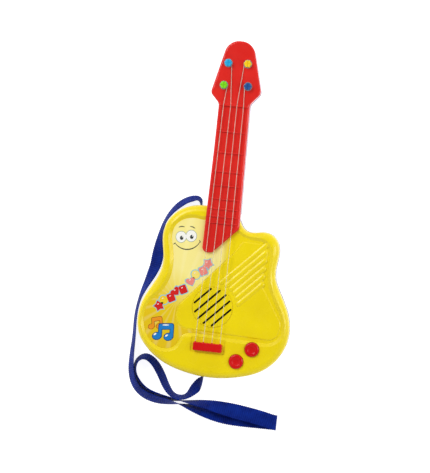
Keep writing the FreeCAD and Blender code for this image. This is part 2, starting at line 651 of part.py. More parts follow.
# ---------------------------------------------------------------- strap
# Middle line of the webbing: x, y, height of its lower edge above the ground, and the way
# its width points, as an azimuth and a rise in degrees. A rise of 90 stands it on edge.
STRAP = [
    (-30, 214, 6, -90, 90), (-30, 221.8, 6, -90, 90), (-34.6, 230.2, 5, -90, 84),
    (-46.5, 228.9, 3, -90, 72), (-59.3, 220.8, 1, -60, 65), (-70.1, 208.8, 0.3, -33, 68),
    (-77.9, 194.5, 0, -14, 74), (-80.2, 180, 0, -4, 64), (-81.4, 161, 0, 0, 42),
    (-82.2, 148, 0, 2, 31), (-83.4, 137, 0, -6, 36), (-87.2, 125.4, 0, -14, 45),
    (-90.9, 115.4, 0, -20, 57), (-95.1, 105, 0, -18, 65), (-98.9, 93.4, 0, -10, 72),
    (-101.4, 80, 0, -4, 74), (-102.4, 64, 0, -2, 72), (-101.3, 41, 0, -2, 71),
    (-102, 15.8, 0, -2, 66), (-100.9, -5.6, 0, 12, 60), (-94.2, -23, 0, 38, 56),
    (-81.2, -34, 0, 62, 54), (-63.6, -38.8, 0, 82, 54), (-46.5, -39.4, 0, 90, 64),
    (-31.4, -40.6, 0, 90, 86), (-15.3, -43.6, 0, 90, 112), (3.9, -48.1, 0, 90, 130),
    (26, -51.3, 0, 90, 150), (49.2, -52, 0, 90, 170), (74.3, -51.8, 0, 90, 180),
    (92.4, -51.5, 0.6, 90, 180), (98, -50.9, 5.5, 90, 180), (92.4, -49.8, 11, 90, 180),
    (75.3, -46, 11.5, 90, 178), (51.2, -42.5, 9, 90, 168), (26, -39.2, 6, 90, 146),
    (1.9, -36.4, 3, 90, 118), (-21.3, -36.3, 0.5, 90, 96), (-43.4, -35.6, 0, 90, 69),
    (-62.8, -33.6, 0, 72, 60), (-79.8, -28.3, 0, 53, 57), (-92.8, -15.4, 0, 30, 60),
    (-97.1, -1.3, 0, 0, 70), (-93.9, 12.2, 0, -37, 73), (-83.2, 17.9, 0, -90, 68),
    (-71, 10.9, 0, -135, 67), (-60.5, -3.8, 0, -150, 66), (-52.2, -19.6, 0, -140, 68),
    (-43, -30.2, 0, -108, 76), (-31.4, -32.6, 0, -90, 76), (-21.2, -28, 0, -40, 68),
    (-12.2, -15.3, 0.5, -32, 46), (-4.7, -5.2, 5, -20, 80), (-4, 7, 6, 0, 90)]


def strap_points():
    half_w = STRAP_WIDTH / 2
    half_t = STRAP_THICK / 2
    places = []
    widths = []
    for x, y, lift, azimuth, rise in STRAP:
        a = math.radians(azimuth)
        e = math.radians(rise)
        z = lift + half_w * abs(math.sin(e)) + half_t * abs(math.cos(e)) + 0.4
        places.append(vec(x, y, z))
        widths.append(vec(math.cos(e) * math.cos(a), math.cos(e) * math.sin(a), math.sin(e)))
    return places, widths


def strap_stations():
    """Places along straight runs joined by tangent arcs, each with its width's direction."""
    places, widths = strap_points()
    runs = [(b - a) for a, b in zip(places, places[1:])]
    stations = [(places[0], runs[0], widths[0])]
    radii = []
    for index in range(1, len(places) - 1):
        before = runs[index - 1]
        after = runs[index]
        reach = 0.45 * min(before.Length, after.Length)
        turn = before.getAngle(after)
        radius = reach / math.tan(turn / 2)
        radii.append(round(radius, 1))
        corner = places[index]
        u = FreeCAD.Vector(before).normalize()
        v = FreeCAD.Vector(after).normalize()
        inward = (v - u).normalize()
        middle = corner + inward * (radius / math.cos(turn / 2) - radius)
        share_in = reach / before.Length
        share_out = reach / after.Length
        early = widths[index] * (1 - share_in) + widths[index - 1] * share_in
        late = widths[index] * (1 - share_out) + widths[index + 1] * share_out
        stations.append((corner - u * reach, u, early))
        stations.append((middle, u + v, widths[index]))
        stations.append((corner + v * reach, v, late))
    stations.append((places[-1], runs[-1], widths[-1]))
    print("strap bend radii", radii)
    return stations


def strap():
    half_w = STRAP_WIDTH / 2
    half_t = STRAP_THICK / 2
    sections = []
    length = 0.0
    last = None
    for place, along, width in strap_stations():
        t = FreeCAD.Vector(along).normalize()
        w = (width - t * width.dot(t)).normalize()
        n = t.cross(w)
        corners = [place + w * half_w + n * half_t, place - w * half_w + n * half_t,
                   place - w * half_w - n * half_t, place + w * half_w - n * half_t]
        sections.append(Part.makePolygon(corners + [corners[0]]))
        if last is not None:
            length += (place - last).Length
        last = place
    solid = Part.makeLoft(sections, True, True)
    print("strap length", round(length, 1), "volume over section x length",
          round(solid.Volume / (length * STRAP_WIDTH * STRAP_THICK), 4))
    return solid


# ---------------------------------------------------------------- build
def main():
    os.makedirs("parts", exist_ok=True)
    body_solid = body_front_solid()
    rear_solid = prism(inset_wire(BODY, -BACK_LIP), 0, SPLIT_Z)
    save("front_shell", front_shell(body_solid))
    save("rear_shell", rear_shell())
    save("neck_front", neck_front(body_solid))
    save("neck_rear", neck_rear(body_solid, rear_solid))
    save("front_label", front_label())
    save("bridge_cover", bridge_cover())
    for index in range(4):
        save("string_%d" % (index + 1), string(index))
    for name, (x, y) in PEGS.items():
        save(name, peg(x, y))
        save(name.replace("peg", "peg_clip"), ring(x, y, PEG_SHAFT_R, 3.8, CLIP_Z, CLIP_Z + 0.8))
    collars = [ring(x, y, 2.4, COLLAR_R, NECK_TOP, COLLAR_Z) for x, y in PEGS.values()]
    save("peg_collars", Part.makeCompound(collars))

    save("grille_cloth", disc(*GRILLE, 25.0, SPEAKER_RIM_Z + 1.2, SKIN_Z))
    save("speaker_frame", speaker_frame())
    save("speaker_cone", speaker_cone())
    save("speaker_magnet", disc(*GRILLE, 12.5, SPEAKER_RIM_Z - 14, SPEAKER_RIM_Z - 7.4))
    save("speaker_clamps", speaker_clamps())
    save("speaker_screws", screws(speaker_screw_places(), SPEAKER_RIM_Z - 1.2, 1, 2.3, 1.4,
                                  1.15, 4.0))

    save("circuit_board", circuit_board())
    save("sound_chip", rounded_box(32, 38, 42, 48, 1.0, BOARD_TOP, BOARD_TOP + 1.6))
    save("capacitors", capacitors())
    save("board_screws", screws(BOARD_SCREWS, BOARD_TOP, -1, 2.3, 1.4, 1.15, 8.0))
    for name, (x, y) in BUTTONS.items():
        save(name, button(x, y))
        save(name.replace("button", "rubber_dome"), rubber_dome(x, y))
    save("speaker_wires", speaker_wires())
    save("battery_wires", battery_wires())

    save("battery_cells", battery_cells())
    save("battery_contacts", battery_contacts())
    save("battery_springs", battery_springs())
    save("battery_door", battery_door())
    save("battery_door_screw", screw(*DOOR_SCREW, 1.2, 1, 2.7, 0.8, 1.5, 8.0))
    save("switch_body", switch_body())
    save("switch_slider", switch_slider())

    save("body_screws", screws(BODY_SCREWS, SCREW_SEAT_Z, 1, 2.9, 2.2, SCREW_R, 19.0))
    neck_screws = [screw(x, y, NECK_SEAT_Z, 1, 2.7, 2.2, SCREW_R, 14.0) for x, y in NECK_SCREWS]
    neck_screws += [screw(x, y, SKIN_Z, 1, 2.7, 1.6, SCREW_R, 5.0) for x, y in HEEL_SCREWS]
    save("neck_screws", Part.makeCompound(neck_screws))

    save("strap_pins", Part.makeCompound([disc(x, y, 2.0, 5, 27) for x, y in STRAP_PINS]))
    save("strap", strap())


main()
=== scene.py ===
"""Looks for a toy electric guitar with a webbing strap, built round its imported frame.

Metres, in the part's own frame: +Y up the neck, +Z out of the string side. Places on the
body are given in millimetres from the tail mark, the point of the body's lower edge that
lies on the neck's axis, as a maker would mark them out.
"""
import bmesh
import bpy
import math
from mathutils import Matrix, Vector


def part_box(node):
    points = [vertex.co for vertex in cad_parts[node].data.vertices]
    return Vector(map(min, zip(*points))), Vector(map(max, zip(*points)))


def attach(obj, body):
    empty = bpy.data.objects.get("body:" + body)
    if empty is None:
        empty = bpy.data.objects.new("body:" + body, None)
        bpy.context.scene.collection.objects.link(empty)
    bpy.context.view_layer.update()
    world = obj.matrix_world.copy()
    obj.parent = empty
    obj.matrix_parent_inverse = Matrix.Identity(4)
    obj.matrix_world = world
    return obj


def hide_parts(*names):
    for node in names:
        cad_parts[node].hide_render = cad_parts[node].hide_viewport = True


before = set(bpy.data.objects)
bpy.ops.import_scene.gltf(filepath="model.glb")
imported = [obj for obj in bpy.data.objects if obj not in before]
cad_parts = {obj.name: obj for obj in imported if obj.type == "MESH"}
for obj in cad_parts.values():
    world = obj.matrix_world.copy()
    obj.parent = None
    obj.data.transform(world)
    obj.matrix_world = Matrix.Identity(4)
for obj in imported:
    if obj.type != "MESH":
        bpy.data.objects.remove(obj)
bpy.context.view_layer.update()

MM = 0.001
BODY = "guitar"
GRILLE_FROM_TAIL = Vector((-0.6, 91.6, 0))


def middle(node):
    low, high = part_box(node)
    return (Vector(low) + Vector(high)) / 2


TAIL = Vector((*middle("grille_cloth").xy, 0)) - GRILLE_FROM_TAIL * MM


def place(x, y, z=0.0):
    """A point given in millimetres from the tail mark."""
    return TAIL + Vector((x, y, z)) * MM


# ---------------------------------------------------------------- node and colour helpers
def colour(code, alpha=1.0):
    """An sRGB hex colour as linear values."""
    parts = [int(code[i:i + 2], 16) / 255 for i in (1, 3, 5)]
    linear = [c / 12.92 if c <= 0.04045 else ((c + 0.055) / 1.055) ** 2.4 for c in parts]
    return linear + [alpha]


def add(tree, kind, settings=(), links=()):
    """One node with its settings and its links; a key is a property or an input socket."""
    made = tree.nodes.new(kind)
    for key, value in dict(settings).items():
        if isinstance(key, str) and hasattr(made, key):
            setattr(made, key, value)
        else:
            made.inputs[key].default_value = value
    for key, source in dict(links).items():
        tree.links.new(source, made.inputs[key])
    return made


def start_material(name, settings):
    """A material with only a Principled shader, which takes the given settings."""
    made = bpy.data.materials.new(name)
    made.use_nodes = True
    tree = made.node_tree
    tree.nodes.clear()
    shader = add(tree, "ShaderNodeBsdfPrincipled", settings)
    add(tree, "ShaderNodeOutputMaterial", (), {"Surface": shader.outputs[0]})
    coords = add(tree, "ShaderNodeTexCoord")
    return made, tree, shader, coords.outputs["Object"]


def mottle(tree, shader, where, codes, size_mm, contrast=0.5):
    """Drives the base colour between two close colours, in patches of a real size."""
    noise = add(tree, "ShaderNodeTexNoise",
                {"Scale": 1 / (size_mm * MM), "Detail": 4.0, "Roughness": contrast},
                {"Vector": where})
    ramp = add(tree, "ShaderNodeValToRGB", (), {"Fac": noise.outputs["Fac"]})
    ramp.color_ramp.elements[0].position = 0.32
    ramp.color_ramp.elements[1].position = 0.68
    ramp.color_ramp.elements[0].color = colour(codes[0])
    ramp.color_ramp.elements[1].color = colour(codes[1])
    tree.links.new(ramp.outputs["Color"], shader.inputs["Base Color"])
    return ramp.outputs["Color"]


def vary_roughness(tree, shader, where, low, high, size_mm):
    """Drives the roughness between two values, in patches of a real size."""
    noise = add(tree, "ShaderNodeTexNoise", {"Scale": 1 / (size_mm * MM), "Detail": 6.0},
                {"Vector": where})
    spread = add(tree, "ShaderNodeMapRange",
                 {"From Min": 0.35, "From Max": 0.65, "To Min": low, "To Max": high},
                 {"Value": noise.outputs["Fac"]})
    tree.links.new(spread.outputs["Result"], shader.inputs["Roughness"])


def relief(tree, shader, height, depth_mm, strength=1.0):
    """Bumps the surface by a pattern, to a real depth."""
    bump = add(tree, "ShaderNodeBump", {"Distance": depth_mm * MM, "Strength": strength},
               {"Height": height})
    tree.links.new(bump.outputs["Normal"], shader.inputs["Normal"])


# ---------------------------------------------------------------- materials
def moulded_abs(name, codes, gloss=(0.20, 0.32)):
    """Injection-moulded ABS: a deep even colour, a soft gloss with a faint orange peel."""
    made, tree, shader, where = start_material(name, {
        "IOR": 1.54, "Specular IOR Level": 0.30, "Coat Weight": 0.05, "Coat Roughness": 0.10})
    mottle(tree, shader, where, codes, 38)
    vary_roughness(tree, shader, where, gloss[0], gloss[1], 11)
    peel = add(tree, "ShaderNodeTexNoise", {"Scale": 1 / (3.2 * MM), "Detail": 2.0},
               {"Vector": where})
    relief(tree, shader, peel.outputs["Fac"], 0.012, 0.5)
    return made


def printed_foil_with_painted_glare():
    """Gravure-printed PVC foil: cream fading to gold and yellow, faint rays, a wet gloss; the
    pale cream is partly painted glare of a large light on the gloss.
    """
    made, tree, shader, where = start_material("printed_pvc_foil_painted_glare", {
        "IOR": 1.53, "Specular IOR Level": 0.36, "Coat Weight": 0.15, "Coat Roughness": 0.05})
    # Painted reflection: the fade from gold to cream is partly print, and its pale cream end
    # also stands for the glare of a large light on the glossy foil.
    gold_end = place(-76, 62)
    cream_and_glare_end = place(-38, 132)
    way = cream_and_glare_end - gold_end
    shifted = add(tree, "ShaderNodeVectorMath",
                  {"operation": "SUBTRACT", 1: tuple(gold_end)}, {0: where})
    along = add(tree, "ShaderNodeVectorMath",
                {"operation": "DOT_PRODUCT", 1: tuple(way / way.length_squared)},
                {0: shifted.outputs["Vector"]})
    print_and_glare_fade = add(tree, "ShaderNodeValToRGB", (), {"Fac": along.outputs["Value"]})
    stops = print_and_glare_fade.color_ramp.elements
    stops[0].color = colour("#DDBB0C")
    stops[1].color = colour("#F1E48C")
    for share, code in ((0.40, "#DFC014"), (0.70, "#E9D55E")):
        stops.new(share).color = colour(code)
    ray_eye = place(-48, 96)
    spot = add(tree, "ShaderNodeVectorMath",
               {"operation": "SUBTRACT", 1: tuple(ray_eye)}, {0: where})
    parts = add(tree, "ShaderNodeSeparateXYZ", (), {"Vector": spot.outputs["Vector"]})
    bearing = add(tree, "ShaderNodeMath", {"operation": "ARCTAN2"},
                  {0: parts.outputs["Y"], 1: parts.outputs["X"]})
    rays = add(tree, "ShaderNodeMath", {"operation": "MULTIPLY", 1: 22.0},
               {0: bearing.outputs["Value"]})
    wave = add(tree, "ShaderNodeMath", {"operation": "SINE"}, {0: rays.outputs["Value"]})
    faint = add(tree, "ShaderNodeMapRange",
                {"From Min": 0.2, "From Max": 1.0, "To Min": 0.0, "To Max": 0.12},
                {"Value": wave.outputs["Value"]})
    rayed = add(tree, "ShaderNodeMix", {"data_type": "RGBA", "B": colour("#FBF6CF")},
                {"Factor": faint.outputs["Result"], "A": print_and_glare_fade.outputs["Color"]})
    across = add(tree, "ShaderNodeSeparateXYZ", (), {"Vector": where})
    to_yellow = add(tree, "ShaderNodeMapRange",
                    {"From Min": place(2, 0).x, "From Max": place(12.5, 0).x},
                    {"Value": across.outputs["X"]})
    ended = add(tree, "ShaderNodeMix", {"data_type": "RGBA", "B": colour("#EAD300")},
                {"Factor": to_yellow.outputs["Result"], "A": rayed.outputs["Result"]})
    tree.links.new(ended.outputs["Result"], shader.inputs["Base Color"])
    vary_roughness(tree, shader, where, 0.10, 0.20, 14)
    swell = add(tree, "ShaderNodeTexNoise", {"Scale": 1 / (9 * MM), "Detail": 1.0},
                {"Vector": where})
    relief(tree, shader, swell.outputs["Fac"], 0.05, 0.5)
    return made


def screen_ink(name, code, darker):
    """Screen-printed ink on the foil: a flat film with slight changes of density."""
    made, tree, shader, where = start_material(name, {
        "IOR": 1.5, "Specular IOR Level": 0.36, "Coat Weight": 0.1, "Coat Roughness": 0.08})
    mottle(tree, shader, where, (darker, code), 1.6, 0.8)
    vary_roughness(tree, shader, where, 0.18, 0.32, 3)
    return made


def drawn_nylon():
    """Milky drawn nylon string: pale, half see-through, with a hard thin highlight."""
    made, tree, shader, where = start_material("milky_drawn_nylon", {
        "IOR": 1.45, "Transmission Weight": 0.60, "Coat Weight": 0.05})
    mottle(tree, shader, where, ("#E3DDC8", "#F1EDDF"), 6)
    vary_roughness(tree, shader, where, 0.12, 0.25, 4)
    return made


def metallised_collar():
    """Vacuum-metallised plastic: a thin bright film that shows the moulding's ripple."""
    made, tree, shader, where = start_material("vacuum_metallised_abs", {"Metallic": 1.0})
    mottle(tree, shader, where, ("#C9CDD2", "#E4E7EA"), 3)
    vary_roughness(tree, shader, where, 0.14, 0.28, 1.5)
    return made


WEAVE_MM = 2.6


def woven_webbing():
    """Woven polypropylene webbing: ribs across it, yarns along it, and a waxy sheen.

    The real ribs are about 1.3 mm apart. They are drawn twice as coarse, so that they show.
    """
    made, tree, shader, where = start_material("woven_polypropylene_webbing", {
        "IOR": 1.49, "Specular IOR Level": 0.06, "Sheen Weight": 0.02,
        "Sheen Roughness": 0.4, "Sheen Tint": colour("#5C7BD8")})
    uv = add(tree, "ShaderNodeUVMap", {"uv_map": "webbing"})
    cloth = uv.outputs["UV"]
    ribs = add(tree, "ShaderNodeTexWave",
               {"wave_type": "BANDS", "bands_direction": "Y", "Scale": 0.314 / (WEAVE_MM * MM),
                "Distortion": 0.8, "Detail": 2.0}, {"Vector": cloth})
    yarns = add(tree, "ShaderNodeTexWave",
                {"wave_type": "BANDS", "bands_direction": "X", "Scale": 0.314 / (1.7 * MM),
                 "Distortion": 0.5, "Detail": 1.0}, {"Vector": cloth})
    weave = add(tree, "ShaderNodeMath", {"operation": "MULTIPLY"},
                {0: ribs.outputs["Fac"], 1: yarns.outputs["Fac"]})
    patches = add(tree, "ShaderNodeTexNoise", {"Scale": 1 / (14 * MM), "Detail": 3.0},
                  {"Vector": where})
    mix = add(tree, "ShaderNodeMath", {"operation": "MULTIPLY_ADD", 1: 0.55},
              {0: weave.outputs["Value"], 2: patches.outputs["Fac"]})
    ramp = add(tree, "ShaderNodeValToRGB", (), {"Fac": mix.outputs["Value"]})
    stops = ramp.color_ramp.elements
    stops[0].position = 0.25
    stops[0].color = colour("#020F55")
    stops[1].position = 1.0
    stops[1].color = colour("#092C92")
    tree.links.new(ramp.outputs["Color"], shader.inputs["Base Color"])
    rough = add(tree, "ShaderNodeMapRange", {"To Min": 0.62, "To Max": 0.42},
                {"Value": weave.outputs["Value"]})
    tree.links.new(rough.outputs["Result"], shader.inputs["Roughness"])
    relief(tree, shader, weave.outputs["Value"], 0.35, 0.9)
    return made


def woven_cloth():
    """Black acoustic cloth: a fine open weave that swallows light."""
    made, tree, shader, where = start_material("woven_acoustic_cloth", {"Sheen Weight": 0.2})
    mottle(tree, shader, where, ("#050505", "#141414"), 1.2)
    vary_roughness(tree, shader, where, 0.8, 0.95, 2)
    check = add(tree, "ShaderNodeTexChecker", {"Scale": 1 / (0.8 * MM)}, {"Vector": where})
    relief(tree, shader, check.outputs["Fac"], 0.15)
    return made


def metal(name, codes, rough, grain_mm):
    """Plated or ground metal: a bright grey with fine streaks and a patchy polish."""
    made, tree, shader, where = start_material(name, {"Metallic": 1.0})
    mottle(tree, shader, where, codes, grain_mm * 3)
    vary_roughness(tree, shader, where, rough[0], rough[1], grain_mm)
    grain = add(tree, "ShaderNodeTexNoise", {"Scale": 1 / (grain_mm * MM), "Detail": 5.0},
                {"Vector": where})
    relief(tree, shader, grain.outputs["Fac"], 0.02)
    return made


def matt(name, codes, rough, grain_mm, depth_mm, sheen=0.0):
    """A matt moulded, pressed or coated surface with a fine tooth."""
    made, tree, shader, where = start_material(name, {"IOR": 1.5, "Sheen Weight": sheen})
    mottle(tree, shader, where, codes, grain_mm * 4)
    vary_roughness(tree, shader, where, rough[0], rough[1], grain_mm * 2)
    tooth = add(tree, "ShaderNodeTexNoise", {"Scale": 1 / (grain_mm * MM), "Detail": 5.0},
                {"Vector": where})
    relief(tree, shader, tooth.outputs["Fac"], depth_mm)
    return made


def finish_nodes():
    """Gives every CAD node its finish."""
    yellow = moulded_abs("yellow_moulded_abs", ("#E2CA00", "#EAD300"))
    red = moulded_abs("red_moulded_abs", ("#C50604", "#CF0A08"))
    neck_red = moulded_abs("red_polished_abs", ("#CF1D16", "#DA261E"), (0.14, 0.24))
    blue = moulded_abs("blue_moulded_abs", ("#0E1F6E", "#14297E"))
    steel = metal("zinc_plated_steel", ("#A9ACB0", "#C4C7CB"), (0.22, 0.42), 1.2)
    nickel = metal("nickel_plated_spring_steel", ("#B9B4A6", "#D8D3C6"), (0.15, 0.30), 0.8)
    black = matt("black_moulded_nylon", ("#0D0D0E", "#1B1B1D"), (0.35, 0.5), 0.8, 0.03)
    finishes = {
        "front_shell": yellow, "rear_shell": blue, "neck_rear": blue, "battery_door": blue,
        "neck_front": neck_red, "bridge_cover": red, "button_upper": red, "button_lower": red,
        "front_label": printed_foil_with_painted_glare(), "peg_collars": metallised_collar(),
        "peg_light_blue": moulded_abs("light_blue_moulded_abs", ("#1C9FD2", "#27B0E0")),
        "peg_yellow": moulded_abs("golden_moulded_abs", ("#EBC40E", "#F2CF18")),
        "peg_green": moulded_abs("green_moulded_abs", ("#6CC914", "#84DB1B")),
        "peg_navy": moulded_abs("navy_moulded_abs", ("#1C4A86", "#275AA0")),
        "grille_cloth": woven_cloth(), "speaker_frame": steel, "speaker_clamps": steel,
        "speaker_screws": steel, "board_screws": steel, "body_screws": steel,
        "neck_screws": steel, "battery_door_screw": steel, "strap_pins": steel,
        "battery_contacts": nickel, "battery_springs": nickel,
        "switch_body": black, "switch_slider": black,
        "speaker_cone": matt("pressed_paper_pulp", ("#171512", "#26221D"), (0.8, 0.95), 0.5,
                             0.1),
        "speaker_magnet": matt("sintered_ferrite", ("#2A2B2D", "#3A3B3E"), (0.5, 0.7), 0.7,
                               0.05),
        "circuit_board": matt("solder_masked_laminate", ("#0E5A26", "#15702F"), (0.25, 0.4),
                              1.5, 0.02),
        "sound_chip": matt("poured_epoxy", ("#08080A", "#141417"), (0.3, 0.5), 1.0, 0.05),
        "capacitors": matt("shrunk_pet_sleeve", ("#0E1A4A", "#16266A"), (0.2, 0.35), 1.5,
                           0.02),
        "battery_cells": matt("lacquered_steel_can", ("#1B1B1E", "#2A2A2E"), (0.2, 0.35),
                              2.0, 0.02),
        "speaker_wires": matt("extruded_pvc", ("#A81414", "#C01C1C"), (0.35, 0.5), 1.0, 0.02),
        "battery_wires": matt("extruded_pvc_dark", ("#151515", "#262626"), (0.35, 0.5), 1.0,
                              0.02)}
    silicone = matt("moulded_silicone", ("#8E9196", "#A3A6AB"), (0.5, 0.65), 0.8, 0.03, 0.2)
    nylon = drawn_nylon()
    for name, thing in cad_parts.items():
        if name.startswith("string"):
            chosen = nylon
        elif name.startswith("rubber_dome"):
            chosen = silicone
        elif name.startswith("peg_clip"):
            chosen = nickel
        else:
            chosen = finishes.get(name)
        if chosen is None:
            continue
        thing.data.materials.clear()
        thing.data.materials.append(chosen)


# ---------------------------------------------------------------- printed pictures
# An ink film's thickness for each layer, what each outline in it adds, and its depth in the foil
INK_MM = 0.04
INK_OVERLAP_MM = 0.006
INK_SUNK_MM = 0.02


def plate(name, outlines, layer, material):
    """Thin ink film on the label: closed outlines in millimetres, each a shade thicker."""
    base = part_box("front_label")[1][2]
    mesh = bpy.data.meshes.new(name)
    shape = bmesh.new()
    for index, outline in enumerate(outlines):
        height = base + (INK_MM * (layer + 1) + INK_OVERLAP_MM * index) * MM
        corners = [place(x, y) for x, y in outline]
        low = [shape.verts.new((c.x, c.y, base - INK_SUNK_MM * MM)) for c in corners]
        top = [shape.verts.new((c.x, c.y, height)) for c in corners]
        shape.faces.new(top)
        shape.faces.new(list(reversed(low)))
        for i in range(len(top)):
            j = (i + 1) % len(top)
            shape.faces.new((low[i], low[j], top[j], top[i]))
    bmesh.ops.recalc_face_normals(shape, faces=shape.faces)
    shape.to_mesh(mesh)
    shape.free()
    mesh.materials.append(material)
    piece = bpy.data.objects.new(name, mesh)
    bpy.context.collection.objects.link(piece)
    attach(piece, BODY)
    return piece


def oval(x, y, wide, tall, turn=0.0, count=36):
    """Closed oval outline with half sizes wide and tall, turned by degrees."""
    c = math.cos(math.radians(turn))
    s = math.sin(math.radians(turn))
    points = []
    for i in range(count):
        a = 2 * math.pi * i / count
        u = wide * math.cos(a)
        v = tall * math.sin(a)
        points.append((x + u * c - v * s, y + u * s + v * c))
    return points


def star(x, y, radius, turn=90.0, arms=5, waist=0.5):
    """Closed outline of a star, whose inner corners lie at a share of its radius."""
    points = []
    for i in range(arms * 2):
        r = radius if i % 2 == 0 else radius * waist
        a = math.radians(turn + 180 * i / arms)
        points.append((x + r * math.cos(a), y + r * math.sin(a)))
    return points


def stroke(points, width):
    """Closed outline of a pen stroke through the points, with tapering ends."""
    left = []
    right = []
    for i, (x, y) in enumerate(points):
        before = points[max(i - 1, 0)]
        after = points[min(i + 1, len(points) - 1)]
        dx = after[0] - before[0]
        dy = after[1] - before[1]
        size = math.hypot(dx, dy)
        share = i / (len(points) - 1)
        half = width / 2 * (0.45 + 0.55 * math.sin(math.pi * share))
        left.append((x - dy / size * half, y + dx / size * half))
        right.append((x + dy / size * half, y - dx / size * half))
    return left + right[::-1]


def arc(x, y, radius, start, end, count=18):
    """Points along a circle's arc, between two angles in degrees."""
    points = []
    for i in range(count + 1):
        a = math.radians(start + (end - start) * i / count)
        points.append((x + radius * math.cos(a), y + radius * math.sin(a)))
    return points


def rounded(x, y, wide, tall, corner, turn=0.0):
    """Closed outline of a box with round corners, with half sizes wide and tall."""
    c = math.cos(math.radians(turn))
    s = math.sin(math.radians(turn))
    points = []
    for quarter, (u, v) in enumerate(((1, 1), (-1, 1), (-1, -1), (1, -1))):
        for i in range(7):
            a = math.radians(90 * quarter + 15 * i)
            px = u * (wide - corner) + corner * math.cos(a)
            py = v * (tall - corner) + corner * math.sin(a)
            points.append((x + px * c - py * s, y + px * s + py * c))
    return points


def beamed_notes(x, y, size, turn, grow=0.0):
    """Two plump note heads, their stems and the thick beam that joins them."""
    def spot(u, v):
        c = math.cos(math.radians(turn))
        s = math.sin(math.radians(turn))
        return x + size * (u * c - v * s), y + size * (u * s + v * c)

    pieces = []
    for u in (-0.70, 0.48):
        pieces.append(oval(*spot(u, -0.50), size * 0.43 + grow, size * 0.34 + grow, turn + 14))
        pieces.append(rounded(*spot(u + 0.30, 0.06), size * 0.15 + grow, size * 0.62 + grow,
                              size * 0.13, turn))
    pieces.append(rounded(*spot(0.19, 0.54), size * 0.74 + grow, size * 0.26 + grow,
                          size * 0.20 + grow / 2, turn + 5))
    return pieces


def smiling_face(white, dark, grey):
    """A plain smile with two round eyes, such as any party balloon has."""
    eyes = ((-51.0, 178.0, 6.6), (-38.0, 180.6, 6.8))
    plate("face_eye_rims", [oval(x, y, r + 0.6, r * 1.06 + 0.6) for x, y, r in eyes], 0, grey)
    plate("face_eyes", [oval(x, y, r, r * 1.06) for x, y, r in eyes], 1, white)
    plate("face_pupils", [oval(x + 0.8, y - 1.2, 2.3, 2.7) for x, y, r in eyes], 2, dark)
    plate("face_glints", [oval(x + 1.5, y + 0.2, 0.7, 0.8) for x, y, r in eyes], 3, white)
    brows = [stroke(arc(-50.5, 183.0, 8.6, 125, 72, 10), 1.3),
             stroke(arc(-39.5, 184.5, 8.2, 100, 48, 10), 1.3)]
    plate("face_brows", brows, 0, dark)
    smile = stroke(arc(-43.5, 181.5, 19.0, 222, 338, 30), 1.5)
    ends = [stroke([(-60.2, 167.0), (-58.6, 168.6), (-57.6, 170.0)], 1.2),
            stroke([(-27.2, 176.2), (-25.9, 175.0), (-25.2, 173.2)], 1.2)]
    plate("face_smile", [smile] + ends, 0, dark)


def heart(x, y, size, turn, count=40):
    """Closed outline of a heart, with its point down before the turn."""
    c = math.cos(math.radians(turn))
    s = math.sin(math.radians(turn))
    points = []
    for i in range(count):
        a = 2 * math.pi * i / count
        u = size * math.sin(a) ** 3
        v = size * (0.81 * math.cos(a) - 0.31 * math.cos(2 * a)
                    - 0.125 * math.cos(3 * a) + 0.1)
        points.append((x + u * c - v * s, y + u * s + v * c))
    return points


def garland_shape(kind, x, y, size, turn):
    """One plump party shape: star, ball, block or heart."""
    if kind == "star":
        return star(x, y, size * 1.15, turn + 90, 5, 0.62)
    if kind == "ball":
        return oval(x, y, size * 0.86, size * 0.92, turn)
    if kind == "block":
        return rounded(x, y, size * 0.78, size * 0.86, size * 0.3, turn)
    return heart(x, y, size * 0.98, turn)


def garland(inks, pale_blue):
    """Two rows of plump party shapes along the label's diagonal edge, rimmed in pale blue."""
    rows = (((-71.1, 87.0), (-42.2, 111.4), ("star", "ball", "block", "heart", "block"),
             ("red", "gold", "red", "red", "red"), 6.3),
            ((-33.0, 122.5), (-11.5, 146.0), ("heart", "ball", "block", "star"),
             ("rose", "pale_gold", "rose", "rose"), 6.3))
    rims = []
    shapes = {}
    for start, end, kinds, shades, size in rows:
        for i, (kind, shade) in enumerate(zip(kinds, shades)):
            share = i / (len(kinds) - 1)
            sway = 1.0 if i % 2 else -1.0
            x = start[0] + (end[0] - start[0]) * share - sway
            y = start[1] + (end[1] - start[1]) * share + sway
            turn = 38 + 11 * sway
            rims.append(garland_shape(kind, x, y, size + 1.3, turn))
            shapes.setdefault(shade, []).append(garland_shape(kind, x, y, size, turn))
            shapes.setdefault("glint", []).append(
                oval(x - 1.5, y + 2.0, 1.25, 0.6, 38, 16))
    plate("garland_rims", rims, 0, pale_blue)
    for shade, outlines in shapes.items():
        plate("garland_" + shade, outlines, 3 if shade == "glint" else 2, inks[shade])


def note_pictures(orange, brown, blue, navy, white):
    """A small note pair behind a large one, each on a darker rim."""
    plate("small_note_rim", beamed_notes(-71.9, 63.4, 8.9, 10, 0.7), 0, brown)
    plate("small_note", beamed_notes(-71.9, 63.4, 8.9, 10), 2, orange)
    plate("large_note_rim", beamed_notes(-60.0, 53.2, 12.8, 2, 0.9), 3, navy)
    plate("large_note", beamed_notes(-60.0, 53.2, 12.8, 2), 5, blue)
    glints = [oval(-71.4, 48.7, 2.1, 1.1, 40, 16), oval(-56.2, 48.4, 2.1, 1.1, 40, 16),
              oval(-58.6, 62.0, 4.4, 0.8, 6, 16)]
    plate("large_note_glints", glints, 7, white)


